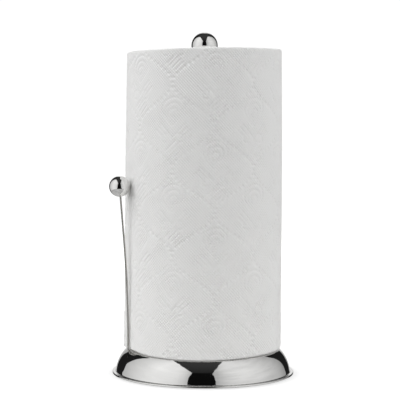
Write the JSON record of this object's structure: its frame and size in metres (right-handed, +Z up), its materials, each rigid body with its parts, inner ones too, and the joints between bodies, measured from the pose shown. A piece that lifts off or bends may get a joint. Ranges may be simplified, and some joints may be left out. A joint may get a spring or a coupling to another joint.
{
  "type": "paper towel holder",
  "caption": "Countertop paper towel holder with a weighted bell-shaped chrome base, a centre post with a ball finial, a sprung wire arm and a full towel roll.",
  "frame": {"origin": "middle of the flat underside of the non-slip pad, on the surface the holder stands on and on the axis of the post", "axes": "+Z up along the post, -Y towards the viewer, -X towards the side where the arm leans on the roll"},
  "size_m": [0.1736, 0.1724, 0.3223],
  "materials": {
    "chrome": "polished",
    "chrome_wire": "polished",
    "ballast_iron": "matte",
    "zinc_steel": "satin",
    "spring_steel": "satin",
    "pad_rubber": "matte",
    "washer_nylon": "satin",
    "collar_plastic": "satin",
    "core_cardboard": "matte",
    "towel_paper": "matte"
  },
  "bodies": {
    "base": {"base_shell": "chrome", "ballast_weight": "ballast_iron", "base_plate": "zinc_steel", "plate_screws": "zinc_steel", "non_slip_pad": "pad_rubber", "post_tube": "chrome", "post_lower_plug": "zinc_steel", "post_upper_plug": "zinc_steel", "post_bolt": "zinc_steel", "post_lock_washer": "zinc_steel", "post_flat_washer": "zinc_steel", "finial_neck": "chrome", "finial_stud": "zinc_steel", "finial_ball": "chrome", "collar_thrust_washer": "washer_nylon", "arm_pivot_pin": "zinc_steel", "arm_pin_clips": "spring_steel", "arm_bracket": "zinc_steel", "arm_bracket_screws": "zinc_steel", "arm_torsion_spring": "spring_steel"},
    "collar": {"core_collar": "collar_plastic"},
    "roll": {"core_tube": "core_cardboard", "towel_roll": "towel_paper"},
    "arm": {"arm_wire": "chrome_wire", "arm_ball": "chrome", "arm_barrel": "zinc_steel"}
  },
  "joints": [
    {"name": "roll_spin", "type": "hinge", "parent": "base", "child": "collar", "pos_m": [0, 0, 0.03], "axis": [0, 0, 1], "continuous": true},
    {"name": "roll_lift", "type": "slide", "parent": "collar", "child": "roll", "axis": [0, 0, 1], "range_m": [0, 0.31]},
    {"name": "arm_swing", "type": "hinge", "parent": "base", "child": "arm", "pos_m": [-0.06683, -0.02837, 0.016], "axis": [0.3907, -0.9205, 0], "range_deg": [0, 12], "stiffness_Nm_per_rad": 0.15, "springref_deg": -28.65, "deforming": ["arm_torsion_spring"]}
  ]
}
